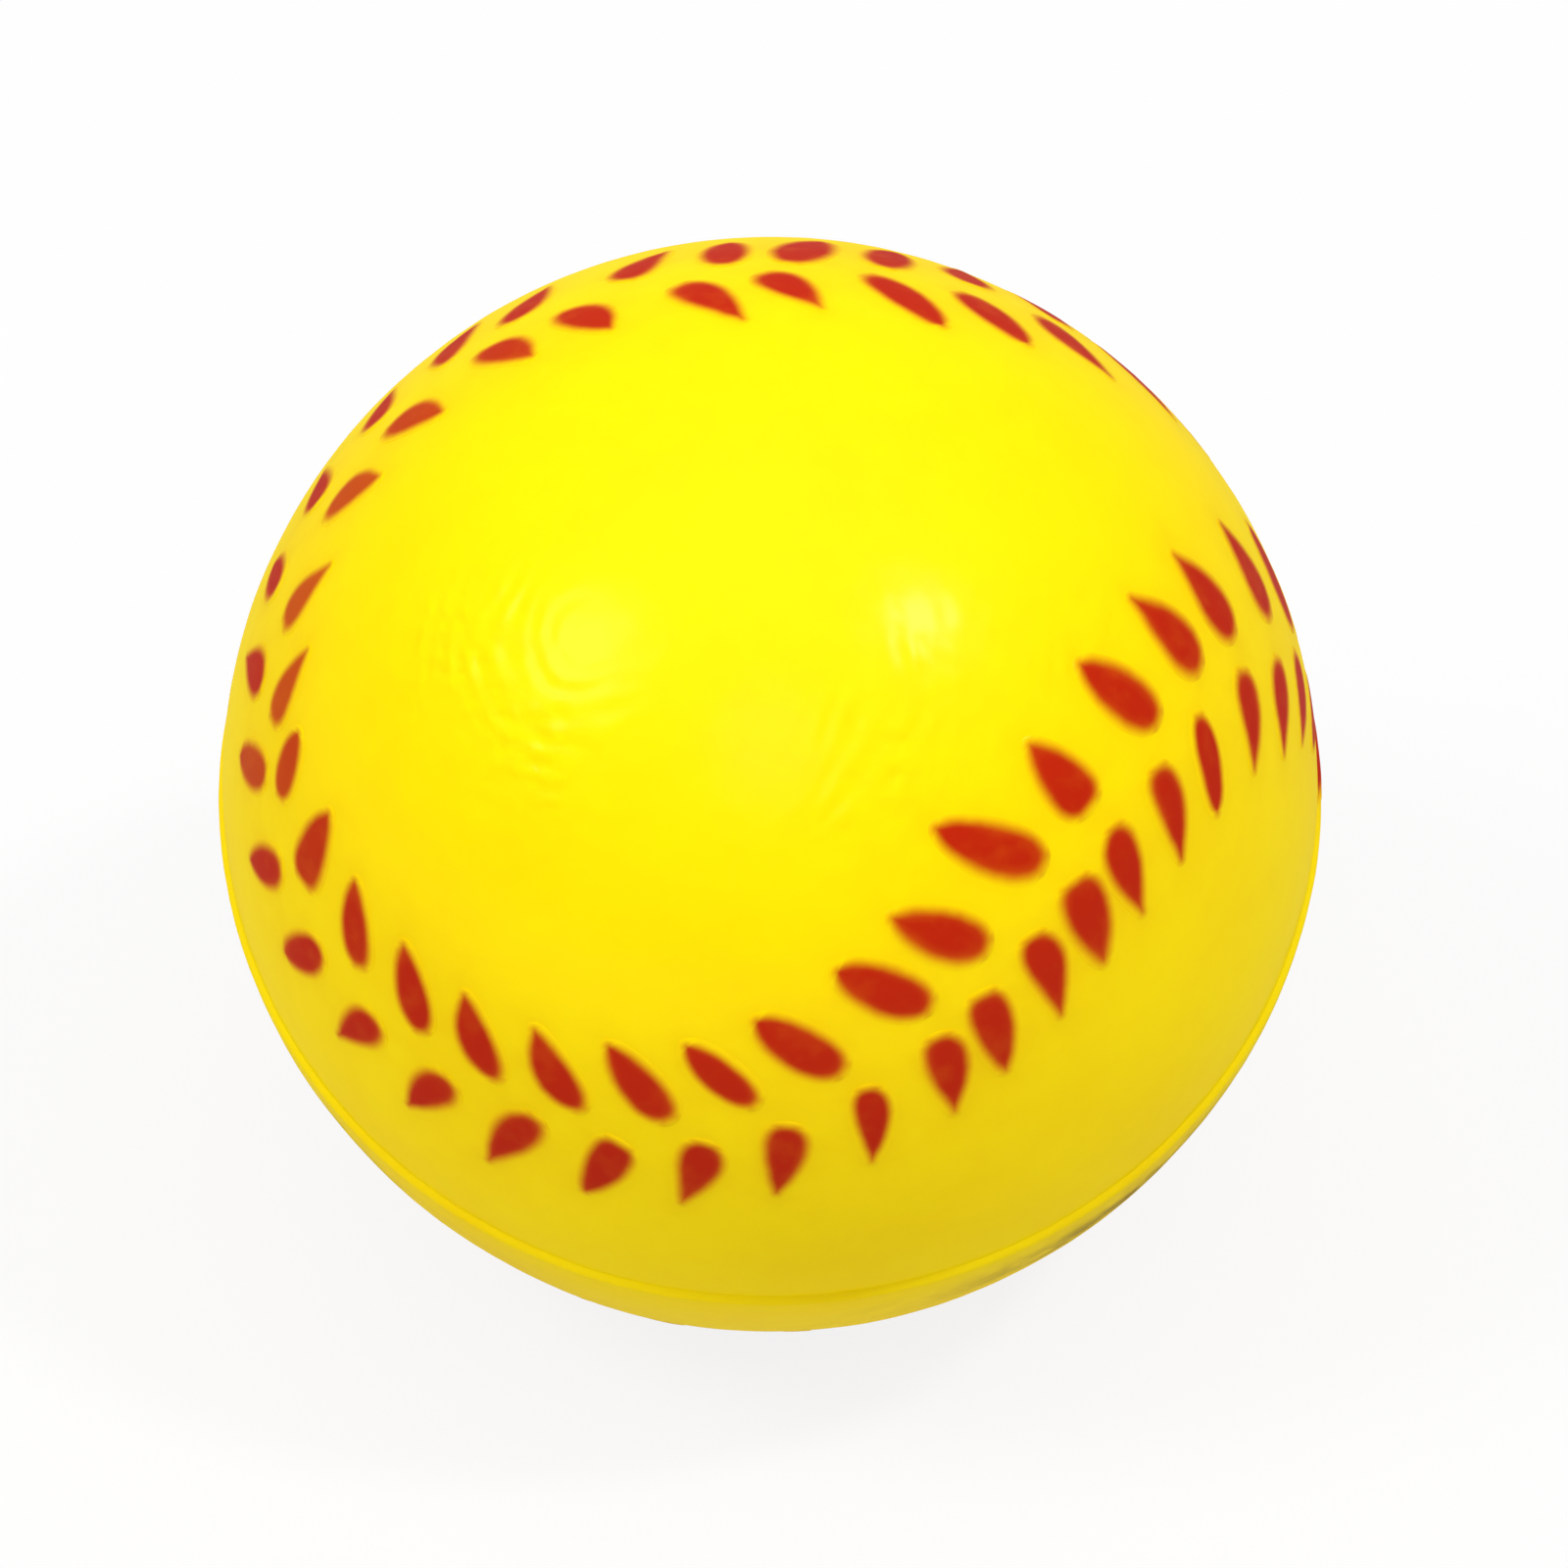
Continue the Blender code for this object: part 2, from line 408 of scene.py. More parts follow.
class StageSettings(bpy.types.PropertyGroup):
    """Camera and lamps"""

    distance: bpy.props.FloatProperty(
        name="Camera distance", description="From the ball's centre", default=0.576, unit="LENGTH"
    )
    elevation: bpy.props.FloatProperty(
        name="Camera elevation", description="Above the horizon", default=math.radians(40), subtype="ANGLE"
    )
    ball_share: bpy.props.FloatProperty(
        name="Ball in the frame",
        description="Radius of the ball's outline over half the width of the frame",
        default=OUTLINE_PIXELS / HALF_WIDTH_PIXELS,
        subtype="FACTOR",
    )
    shift: bpy.props.FloatProperty(
        name="Camera shift", description="Sideways shift of the frame", default=0.009, precision=4
    )
    left_lamp: bpy.props.FloatProperty(name="Left lamp", description="Light of the left lamp", default=1.22)
    right_lamp: bpy.props.FloatProperty(name="Right lamp", description="Light of the right lamp", default=1.2)
    front_lamp: bpy.props.FloatProperty(name="Front lamp", description="Light of the front lamp", default=0.4)
    overhead: bpy.props.FloatProperty(name="Overhead", description="Light from the pale ceiling", default=1.6)
    fill: bpy.props.FloatProperty(name="Fill", description="Light from all round", default=0.14)


class Wire:
    """A node's output that expressions can be written with."""

    def __init__(self, tree, socket):
        self.tree = tree
        self.socket = socket

    def math(self, operation, *values):
        node = self.tree.nodes.new("ShaderNodeMath")
        node.operation = operation
        for place, value in enumerate(values):
            if isinstance(value, Wire):
                self.tree.links.new(value.socket, node.inputs[place])
            else:
                node.inputs[place].default_value = value
        return Wire(self.tree, node.outputs[0])

    def __add__(self, other):
        return self.math("ADD", self, other)

    def __radd__(self, other):
        return self.math("ADD", other, self)

    def __sub__(self, other):
        return self.math("SUBTRACT", self, other)

    def __rsub__(self, other):
        return self.math("SUBTRACT", other, self)

    def __mul__(self, other):
        return self.math("MULTIPLY", self, other)

    def __rmul__(self, other):
        return self.math("MULTIPLY", other, self)

    def __truediv__(self, other):
        return self.math("DIVIDE", self, other)

    def __rtruediv__(self, other):
        return self.math("DIVIDE", other, self)

    def __pow__(self, other):
        return self.math("POWER", self, other)

    def __abs__(self):
        return self.math("ABSOLUTE", self)

    def most(self, other):
        return self.math("MAXIMUM", self, other)

    def least(self, other):
        return self.math("MINIMUM", self, other)

    def root(self):
        return self.math("SQRT", self)

    def exp(self):
        return self.math("EXPONENT", self)

    def output(self, name):
        """Another output of the same node."""
        return Wire(self.tree, self.socket.node.outputs[name])


class Finish:
    """Adds nodes to the tree of a material or a world."""

    def __init__(self, owner):
        owner.use_nodes = True
        self.tree = owner.node_tree
        self.tree.nodes.clear()

    def node(self, kind, settings=None, sockets=None, output=0):
        """Makes any node: its settings first, then the values or links of its sockets, by name or number."""
        made = self.tree.nodes.new(kind)
        for name, value in (settings or {}).items():
            setattr(made, name, value)
        for place, value in (sockets or {}).items():
            if isinstance(value, Wire):
                self.tree.links.new(value.socket, made.inputs[place])
            else:
                made.inputs[place].default_value = value
        return Wire(self.tree, made.outputs[output]) if made.outputs else None

    def places(self):
        """Where a point lies on the object, in metres."""
        return self.node("ShaderNodeTexCoord", output="Object")

    def mottle(self, scale, detail, roughness=0.5):
        """Noise from 0 to 1."""
        sockets = {"Vector": self.places(), "Scale": scale, "Detail": detail, "Roughness": roughness}
        return self.node("ShaderNodeTexNoise", {}, sockets, "Fac")

    def ease(self, value, low, high):
        """0 below low, 1 above high, with a smooth step between."""
        return self.node(
            "ShaderNodeMapRange",
            {"interpolation_type": "SMOOTHSTEP"},
            {"Value": value, "From Min": low, "From Max": high},
        )

    def blend(self, share, first, second):
        """Colour between two colours."""
        sockets = {MIX_SHARE: share}
        for place, colour in ((MIX_FIRST, first), (MIX_SECOND, second)):
            sockets[place] = colour if isinstance(colour, Wire) else (*colour, 1)
        return self.node("ShaderNodeMix", {"data_type": "RGBA"}, sockets, MIX_RESULT)

    def value(self, name):
        """A number that the mesh holds at each point."""
        return self.node("ShaderNodeAttribute", {"attribute_name": name}, output="Fac")

    def split(self, vector):
        """The parts of a vector, as outputs X, Y and Z."""
        return self.node("ShaderNodeSeparateXYZ", {}, {"Vector": vector})

    def surface(self, shader):
        self.node("ShaderNodeOutputMaterial", {}, {"Surface": shader})


def skin_colour(finish, colours):
    """The skin's yellow, a little deeper in soft patches, under a haze of stray paint."""
    patches = finish.mottle(*SKIN_PATCHES)
    speckle = finish.mottle(*SKIN_SPECKLE)
    share = finish.ease(patches * 0.75 + speckle * 0.25, *SKIN_FADE)
    yellow = finish.blend(share, colours.skin, colours.skin_deep)
    haze = finish.value("mist") * (0.55 + speckle * 0.9)
    return finish.blend(haze, yellow, colours.paint)


def skin_grain(finish):
    """Fine unevenness of the moulded surface, with close ripples in the wrinkled patches."""
    grain = finish.mottle(*SKIN_GRAIN) + finish.mottle(*SKIN_PEBBLES) * 0.8
    ripples = finish.mottle(*SKIN_RIPPLES) * finish.value("wrinkled") * 9.0
    sockets = {"Strength": 1.0, "Distance": GRAIN_HEIGHT, "Height": grain + ripples}
    return finish.node("ShaderNodeBump", {}, sockets)


def satin_surface(finish, colour, roughness):
    """Ends a finish of the skin or of the paint on it, which shine only by the thin gloss from the mould."""
    shader = finish.node(
        "ShaderNodeBsdfPrincipled",
        {},
        {
            "Base Color": colour,
            "Roughness": roughness,
            "Specular IOR Level": 0.0,
            "Coat Weight": SKIN_GLOSS,
            "Coat Roughness": SKIN_BLUR,
            "Normal": skin_grain(finish),
        },
    )
    finish.surface(shader)


def skin_material(colours):
    """Yellow moulded skin, with shade painted under the lip."""
    material = bpy.data.materials.new("satin_moulded_skin")
    finish = Finish(material)
    # The shade that is painted under the lip, in clouds; it darkens the yellow there and roughens it a little
    shade_share = finish.value("grime") * finish.ease(finish.mottle(*SHADE_CLOUDS), *SHADE_FADE)
    colour = finish.blend(shade_share, skin_colour(finish, colours), colours.grime)
    least, added = SKIN_ROUGHNESS
    satin_surface(finish, colour, least + finish.mottle(*SKIN_SHINE) * added + shade_share * SHADE_ROUGHNESS)
    return material


def outline_depth(finish):
    """How far a point lies inside its mark's outline, in half widths of the mark, and below 0 outside it."""
    chart = finish.split(finish.node("ShaderNodeUVMap", {"uv_map": "mark"}))
    along, across = chart.output("X"), abs(chart.output("Y"))
    leaf = finish.split(finish.node("ShaderNodeAttribute", {"attribute_name": "leaf"}, output="Vector"))
    base, tip, scale = leaf.output("X"), leaf.output("Y"), leaf.output("Z")
    inside = along.most(OUTLINE_END).least(1 - OUTLINE_END)
    outline = scale * inside**base * (1 - inside) ** tip
    # The outline's distance across the mark and along it, then square to the outline
    rise = outline - across
    run = (inside - (across / (scale * (1 - inside) ** tip)) ** (1 / base)) * MARK_ASPECT
    fall = (outline * tip / (1 - inside) / MARK_ASPECT).least(STEEPEST)
    side = rise * abs(run) / ((rise * rise + run * run) * (1 + fall * fall)).root()
    past = abs(along - inside) * MARK_ASPECT
    return side.most(0) - (side.least(0) ** 2 + past * past).root()


def paint_material(colours, sizes):
    """Sprayed paint that thins out to bare skin at a mark's edge."""
    material = bpy.data.materials.new("sprayed_stitch_paint")
    finish = Finish(material)
    depth = outline_depth(finish)
    thin = finish.value("thin")
    speckle = finish.mottle(*PAINT_SPECKLE) - 0.5
    drift = finish.mottle(*PAINT_DRIFT) - 0.5
    film = finish.ease(depth + speckle * EDGE_SPECKLE + drift * EDGE_DRIFT, *FILM_FADE)
    halo = sizes.mist_share * (depth.least(0) * (MARK_HALF / sizes.mist_reach)).exp()
    cover = film * (1 - thin * THIN_LOSS) + (1 - film) * halo
    patches = finish.ease(finish.mottle(*PAINT_PATCHES), *PATCH_FADE)
    body = finish.ease(depth + drift * BODY_DRIFT, *BODY_FADE) * (1 - thin) * (1 - patches * PATCH_LOSS)
    red = finish.blend(body, colours.paint_thin, colours.paint)
    least, added = PAINT_ROUGHNESS
    satin_surface(finish, finish.blend(cover, skin_colour(finish, colours), red), least + film * added)
    return material


def foam_material(colours):
    """Open cells in a soft pale foam, with shade painted into the hollows of the cells."""
    material = bpy.data.materials.new("open_cell_foam")
    finish = Finish(material)
    sockets = {"Vector": finish.places(), "Scale": FOAM_CELL_SCALE}
    cells = finish.node("ShaderNodeTexVoronoi", {"feature": "F1"}, sockets, "Distance")
    hollow = finish.ease(cells, *CELL_FADE)
    cloud = finish.mottle(*FOAM_CLOUDS)
    bump = finish.node("ShaderNodeBump", {}, {"Strength": 0.6, "Distance": CELL_DEPTH, "Height": hollow})
    least, added = FOAM_ROUGHNESS
    shader = finish.node(
        "ShaderNodeBsdfPrincipled",
        {},
        {
            # The cell hollows are painted darker as shade; the clouds add random tone
            "Base Color": finish.blend(hollow * 0.6 + cloud * 0.3, colours.foam_hollow_shade, colours.foam),
            "Roughness": least + cloud * added,
            "Normal": bump,
        },
    )
    finish.surface(shader)
    return material


def bell(distance, reach):
    """1 at no distance, about a third at the reach, and next to nothing at twice that."""
    return math.exp(-((distance / reach) ** 2))


def wave_round(terms, index):
    """A value that varies over one and two waves round the seam."""
    mean, sine, cosine, sine_two, cosine_two = terms
    angle = math.tau * index / MARKS_PER_ROW
    first = sine * math.sin(angle) + cosine * math.cos(angle)
    second = sine_two * math.sin(2 * angle) + cosine_two * math.cos(2 * angle)
    return mean + first + second


class Ball:
    """The ball's surface about its centre."""

    def __init__(self, sizes):
        self.sizes = sizes
        self.radius = sizes.diameter / 2
        self.centre = Vector((0, 0, self.radius - sizes.rest_depth))
        self.mould = Matrix.Rotation(PARTING_TILT, 3, "X")
        self.mould_axis = self.mould @ Vector((0, 0, 1))

    def height(self, way):
        """How far above the parting line a direction meets the ball, measured on its surface."""
        return self.radius * math.asin(max(-1, min(1, way.dot(self.mould_axis))))

    def lift(self, way, half=None):
        """How far the skin stands off the plain sphere in a direction."""
        sizes = self.sizes
        height = self.height(way)
        upper = height >= 0 if half is None else half > 0
        off = abs(height)
        edge = 0.0
        if not upper:
            climb = math.sin(math.pi / 2 * min(1, off / sizes.lip_width))
            edge = sizes.lip_height * climb * bell(off, sizes.lip_fade)
        wave = noise.noise(way * WAVE_SCALE) + CLOSE_WAVE_SHARE * noise.noise(way * CLOSE_WAVE_SCALE)
        return edge + sizes.waviness * wave + sizes.wrinkle_height * self.wrinkle(way)

    def wrinkled(self, way):
        """How strongly the skin is wrinkled in a direction, from the patches where the foam shrank."""
        return sum(most * bell((way - heart).length, reach) for heart, reach, most in WRINKLE_PATCHES)

    def wrinkle(self, way):
        """Wrinkles all over the skin and, in the patches, broken rings of ripples round one point."""
        share = self.wrinkled(way)
        bent = way * WRINKLE_SCALE + noise.noise_vector(way * WRINKLE_BEND_SCALE) * WRINKLE_BEND
        sway = RIPPLE_SWAY * noise.noise(way * RIPPLE_SWAY_SCALE)
        rings = math.sin(math.tau * (way - RIPPLE_HEART).length / RIPPLE_PITCH + sway)
        broken = RIPPLE_MEAN + RIPPLE_BREAK * noise.noise(way * RIPPLE_BREAK_SCALE)
        return (WRINKLE_LEAST + share * WRINKLE_GAIN) * noise.noise(bent) + share * broken * rings

    def grime(self, way):
        """Share of the skin that painted shade darkens under the lip, in a few spells round the ball."""
        below = -self.height(way)
        if below < 0:
            return 0.0
        place = self.mould.transposed() @ way
        turn = math.atan2(place.y, place.x)
        spells = sum(most * bell(turn - middle, reach) for middle, reach, most in PAINTED_SHADE_SPELLS)
        return bell(below - PAINTED_SHADE_MIDDLE, PAINTED_SHADE_WIDTH) * spells

    def point(self, way, half=None, raised=0.0):
        """A point on the skin, or above it, flattened where the ball rests."""
        point = self.centre + way * (self.radius + self.lift(way, half) + raised)
        point.z = max(point.z, 0.0)
        return point


class Seam:
    """The seam line on a sphere of radius 1, measured by its length on the ball."""

    def __init__(self, radius):
        self.radius = radius
        self.turn = Euler(SEAM_TURN).to_matrix()
        turn = np.linspace(0, math.tau, SEAM_SAMPLES + 1)
        east = np.cos(turn) + SEAM_LOOP * np.cos(3 * turn)
        north = np.sin(turn) - SEAM_LOOP * np.sin(3 * turn)
        up = SEAM_RISE * np.sin(2 * turn)
        wave = np.column_stack([east, north, up]) + SEAM_SHIFT
        self.points = wave / np.linalg.norm(wave, axis=1, keepdims=True)
        steps = np.linalg.norm(np.diff(self.points, axis=0), axis=1)
        self.along = radius * np.concatenate([[0], np.cumsum(steps)])
        self.length = self.along[-1]

    def at(self, along):
        place = along % self.length
        found = [np.interp(place, self.along, column) for column in self.points.T]
        return Vector(found).normalized()

    def frame(self, along, across):
        """Unit vectors out of the ball, along the seam and away from it, at a point beside the seam."""
        step = self.length / SEAM_SAMPLES
        here = self.at(along)
        ahead = (self.at(along + step) - self.at(along - step)).normalized()
        side = here.cross(ahead)
        angle = across / self.radius
        out = here * math.cos(angle) + side * math.sin(angle)
        away = side * math.cos(angle) - here * math.sin(angle)
        return self.turn @ out, self.turn @ ahead, self.turn @ away

    def mark_place(self, row, index):
        wave = math.tau * index / MARKS_PER_ROW
        sway = 0.0
        for order, (sine, cosine) in enumerate(ROW_DRIFT[row], start=1):
            sway += sine * math.sin(order * wave) + cosine * math.cos(order * wave)
        return self.length / MARKS_PER_ROW * (ROW_START[row] + index + sway)


class Mark:
    """One sprayed mark: its place beside the seam, its outline and its paint. Sizes in metres."""

    def __init__(self, seam, row, index, chance):
        shapes = ROW_LEAVES[row]
        if index < len(shapes):
            shift = UNEVEN.get(f"{row}{index}", {})
            kind = next(name for name in LEAVES if name.startswith(shapes[index]))
        else:
            shift = {name: chance.gauss(0, usual) for name, usual in CHANCE.items()}
            kind = chance.choice(list(LEAVES))
        self.row = row
        self.radius = seam.radius
        self.length = (wave_round(ROW_LENGTH[row], index) + shift.get("length", 0)) / MM_PER_M
        self.half = (wave_round(ROW_WIDTH[row], index) + shift.get("width", 0)) / 2 / MM_PER_M
        self.base, self.tip, bow = LEAVES[kind]
        self.bow = bow / MM_PER_M
        fullest = self.base / (self.base + self.tip)
        self.scale = 1 / (fullest**self.base * (1 - fullest) ** self.tip)
        self.thin = max(most * bell(index - middle, reach) for middle, reach, most in THIN_SPELLS[row])

        side = ROW_SIDE[row]
        along = seam.mark_place(row, index) + shift.get("along", 0) / MM_PER_M
        across = (wave_round(ROW_ACROSS[row], index) + shift.get("across", 0)) / MM_PER_M
        lean = math.radians(wave_round(ROW_LEAN[row], index) + shift.get("lean", 0))
        self.out, ahead, away = seam.frame(along, side * across)
        self.tipward = away * (side * math.cos(lean)) - ahead * math.sin(lean)
        self.sideways = self.out.cross(self.tipward)

    def edge(self, share):
        """Half width over the mark's length, from the fat end at 0 to the tip at 1."""
        inside = np.clip(share, OUTLINE_END, 1 - OUTLINE_END)
        return self.half * self.scale * inside**self.base * (1 - inside) ** self.tip

    def sway(self, share):
        """How far the middle line bows sideways over the mark's length."""
        return self.bow * np.clip(1 - (2 * share - 1) ** 2, 0, None)

    def film_edge(self, reach, margin):
        """Half width of the film, which follows the outline at a margin, at a distance from the fat end."""
        shares = np.linspace(0, 1, EDGE_SAMPLES)
        left = np.clip(margin**2 - (reach - shares * self.length) ** 2, 0, None)
        return float(np.max(np.where(left > 0, self.edge(shares) + np.sqrt(left), 0)))

    def way(self, share, aside):
        """Direction of a point of the mark from the ball's centre."""
        ahead = (share - 0.5) * self.length
        offset = self.tipward * ahead + self.sideways * (aside + float(self.sway(share)))
        return (self.out + offset / self.radius).normalized()

    def mist(self, ways, sizes):
        """Share of the skin that stray paint covers in each of many directions."""
        facing = ways @ np.array(self.out)
        near = np.flatnonzero(facing > math.cos((self.length + MIST_END * sizes.mist_reach) / self.radius))
        close = ways[near] / facing[near, None] * self.radius
        share = close @ np.array(self.tipward) / self.length + 0.5
        aside = np.abs(close @ np.array(self.sideways) - self.sway(share))
        past = np.abs(share - np.clip(share, 0, 1)) * self.length
        gap = np.hypot(np.clip(aside - self.edge(share), 0, None), past)
        found = np.zeros(len(ways))
        found[near] = sizes.mist_share * np.exp(-gap / sizes.mist_reach)
        return found


def sprayed_marks(seam):
    """All the marks, in the order of their rows along the seam."""
    marks = []
    for row in ROW_SIDE:
        chance = random.Random(f"row {row}")
        marks += [Mark(seam, row, index, chance) for index in range(MARKS_PER_ROW)]
    return marks


def add_mark(bm, layers, ball, mark, others):
    """One film of paint: a grid bent over the skin, with its edge bound into the skin."""
    margin = ball.sizes.overspray
    span = mark.length + 2 * margin
    finer = LIP_FINER if abs(mark.out.dot(ball.mould_axis)) * ball.radius < mark.length else 1
    grid = bmesh.ops.create_grid(bm, x_segments=MARK_ROWS * finer, y_segments=MARK_COLUMNS * finer, size=1)
    charts, ways = {}, {}
    for vert in grid["verts"]:
        reach = (1 - math.cos(math.pi * (vert.co.x + 1) / 2)) / 2 * span
        share = (reach - margin) / mark.length
        aside = vert.co.y * mark.film_edge(reach - margin, margin)
        charts[vert] = (share, aside / mark.half)
        ways[vert] = mark.way(share, aside)
        at_rim = max(abs(vert.co.x), abs(vert.co.y)) > GRID_RIM
        vert.co = ball.point(ways[vert], raised=ball.sizes.film * (FILM_EDGE if at_rim else 1))
    rim = dict.fromkeys(edge for vert in grid["verts"] for edge in vert.link_edges if edge.is_boundary)
    made = bmesh.ops.extrude_edge_only(bm, edges=list(rim))["geom"]
    low = [item for item in made if isinstance(item, bmesh.types.BMVert)]
    for vert in low:
        above = next(edge.other_vert(vert) for edge in vert.link_edges if edge.other_vert(vert) in ways)
        charts[vert] = charts[above]
        vert.co = ball.point(ways[above], raised=-ball.sizes.film_root)
    low_edges = [item for item in made if isinstance(item, bmesh.types.BMEdge) and item.is_boundary]
    bmesh.ops.edgeloop_fill(bm, edges=low_edges)
    places = np.array(list(ways.values()))
    stray = sum(other.mist(places, ball.sizes) for other in others)
    for vert, share in zip(ways, stray):
        vert[layers["mist"]] = share
    for vert in charts:
        vert[layers["leaf"]] = (mark.base, mark.tip, mark.scale)
        vert[layers["thin"]] = mark.thin
    for face in {face for vert in charts for face in vert.link_faces}:
        for loop in face.loops:
            loop[layers["mark"]].uv = charts[loop.vert]


def new_piece(name, bm, material, nodes):
    """Turns a bmesh into a piece that stands for CAD nodes."""
    mesh = bpy.data.meshes.new(name)
    bm.to_mesh(mesh)
    bm.free()
    mesh.shade_smooth()
    mesh.set_sharp_from_angle(angle=SHARP_ANGLE)
    mesh.materials.append(material)
    piece = bpy.data.objects.new(name, mesh)
    bpy.context.scene.collection.objects.link(piece)
    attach(piece, BODY)
    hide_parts(*nodes)
    return piece


def close_mesh(bm):
    bmesh.ops.remove_doubles(bm, verts=bm.verts[:], dist=POLE_MERGE)
    bmesh.ops.recalc_face_normals(bm, faces=bm.faces[:])


def skin_profile(ball):
    """Section of one half of the skin in its mould: outer wall from pole to rim, then inner wall back."""
    sizes = ball.sizes
    quarter = math.pi / 2
    rim = [sizes.lip_width * row / LIP_ROWS for row in range(LIP_ROWS)]
    rim += [sizes.lip_width + row * RIM_ROW_STEP for row in range(RIM_ROWS)]
    rest = quarter * ball.radius - rim[-1]
    rows = round(rest / ARC_ROW_STEP)
    arc = rim + [rim[-1] + rest * (row + 1) / rows for row in range(rows)]
    inner = ball.radius - sizes.wall
    section = [(ball.radius, height / ball.radius) for height in reversed(arc)]
    section += [(inner, quarter * row / INNER_ROWS) for row in range(INNER_ROWS + 1)]
    return [(radius * math.cos(angle), radius * math.sin(angle)) for radius, angle in section]


def add_skin_half(ball, name, node, half, material, marks):
    """A closed bowl: a grid wrapped round the mould's axis, then shaped to the real skin."""
    section = skin_profile(ball)
    rows = len(section) - 1
    bm = bmesh.new()
    mist = bm.verts.layers.float.new("mist")
    grime = bm.verts.layers.float.new("grime")
    wrinkled = bm.verts.layers.float.new("wrinkled")
    bmesh.ops.create_grid(bm, x_segments=TURN_STEPS, y_segments=rows, size=1)
    for vert in bm.verts:
        column = round((vert.co.x + 1) / 2 * TURN_STEPS) % TURN_STEPS
        across, height = section[round((vert.co.y + 1) / 2 * rows)]
        turn = math.tau * column / TURN_STEPS
        vert.co = ball.mould @ Vector((across * math.cos(turn), across * math.sin(turn), half * height))
    close_mesh(bm)
    shell = ball.radius - ball.sizes.wall / 2
    ways = [vert.co.normalized() for vert in bm.verts]
    places = np.array(ways)
    stray = sum(mark.mist(places, ball.sizes) for mark in marks)
    for vert, way, share in zip(bm.verts, ways, stray):
        vert[mist] = share
        # How much shade is painted under the lip at this point
        vert[grime] = ball.grime(way)
        vert[wrinkled] = ball.wrinkled(way)
        if vert.co.length > shell:
            vert.co = ball.point(way, half)
        else:
            vert.co += ball.centre
    piece = new_piece(name, bm, material, [node])


class FOAMBALL_OT_core(bpy.types.Operator):
    """Adds the foam core that fills the skin"""

    bl_idname = "foam_ball.core"
    bl_label = "Foam core"

    def execute(self, context):
        ball = Ball(context.scene.foam_ball_sizes)
        radius = ball.radius - ball.sizes.wall - ball.sizes.core_clearance
        bm = bmesh.new()
        bmesh.ops.create_icosphere(bm, subdivisions=CORE_DIVISIONS, radius=radius)
        for vert in bm.verts:
            way = vert.co.normalized()
            pore = min(1, noise.voronoi(way * PORE_SCALE)[0][0] / PORE_REACH)
            vert.co = ball.centre + way * (radius - PORE_DEPTH * (1 - pore))
        material = foam_material(context.scene.foam_ball_colours)
        piece = new_piece("foam_core_cells", bm, material, ["foam_core"])
        return {"FINISHED"}


class FOAMBALL_OT_skin(bpy.types.Operator):
    """Adds the two halves of the moulded skin"""

    bl_idname = "foam_ball.skin"
    bl_label = "Moulded skin"

    def execute(self, context):
        ball = Ball(context.scene.foam_ball_sizes)
        marks = sprayed_marks(Seam(ball.radius))
        material = skin_material(context.scene.foam_ball_colours)
        add_skin_half(ball, "upper_skin", "skin_upper_half", 1, material, marks)
        add_skin_half(ball, "lower_skin", "skin_lower_half", -1, material, marks)
        return {"FINISHED"}


class FOAMBALL_OT_stitches(bpy.types.Operator):
    """Adds the two rows of sprayed stitch marks"""

    bl_idname = "foam_ball.stitches"
    bl_label = "Stitch marks"

    def execute(self, context):
        ball = Ball(context.scene.foam_ball_sizes)
        marks = sprayed_marks(Seam(ball.radius))
        material = paint_material(context.scene.foam_ball_colours, ball.sizes)
        for row in ROW_SIDE:
            bm = bmesh.new()
            layers = {
                "mark": bm.loops.layers.uv.new("mark"),
                "leaf": bm.verts.layers.float_vector.new("leaf"),
                "thin": bm.verts.layers.float.new("thin"),
                "mist": bm.verts.layers.float.new("mist"),
            }
            for mark in marks:
                if mark.row == row:
                    others = [other for other in marks if 0 < (other.out - mark.out).length < NEIGHBOUR_REACH]
                    add_mark(bm, layers, ball, mark, others)
            close_mesh(bm)
            nodes = [f"stitch_row_{row}_{run:02d}" for run in range(1, RUNS_PER_ROW + 1)]
            new_piece(f"stitch_marks_{row}", bm, material, nodes)
        return {"FINISHED"}


def seen_share(finish):
    """1 for what the camera sees, also in a mirror or through glass, 0 for light that falls on the ball."""
    path = finish.node("ShaderNodeLightPath")
    seen = path.output("Is Camera Ray")
    return seen.most(path.output("Is Glossy Ray")).most(path.output("Is Transmission Ray"))


def floor_material(colours):
    """Pale floor that looks almost white and still keeps the ball's shadow."""
    material = bpy.data.materials.new("pale_floor")
    finish = Finish(material)
    lit = finish.node("ShaderNodeBsdfDiffuse", {}, {"Color": (*colours.floor, 1)})
    white = finish.node("ShaderNodeEmission", {}, {"Color": WHITE, "Strength": 1.0})
    share = seen_share(finish) * FLOOR_WHITE
    finish.surface(finish.node("ShaderNodeMixShader", {}, {0: share, 1: lit, 2: white}))
    return material


def add_floor(scene):
    bm = bmesh.new()
    bmesh.ops.create_grid(bm, x_segments=1, y_segments=1, size=FLOOR_HALF)
    mesh = bpy.data.meshes.new("floor")
    bm.to_mesh(mesh)
    bm.free()
    mesh.materials.append(floor_material(scene.foam_ball_colours))
    floor = bpy.data.objects.new("floor", mesh)
    scene.collection.objects.link(floor)


def studio_world(stage):
    """A white background, which lights the ball as a soft ceiling."""
    world = bpy.data.worlds.new("studio")
    finish = Finish(world)
    seen = seen_share(finish)
    sky = finish.node("ShaderNodeTexCoord", output="Generated")
    height = finish.split(sky).output("Z").most(0)
    strength = seen + (1 - seen) * (stage.fill + stage.overhead * height**CEILING_POWER)
    background = finish.node("ShaderNodeBackground", {}, {"Color": WHITE, "Strength": strength})
    finish.node("ShaderNodeOutputWorld", {}, {"Surface": background})
    return world


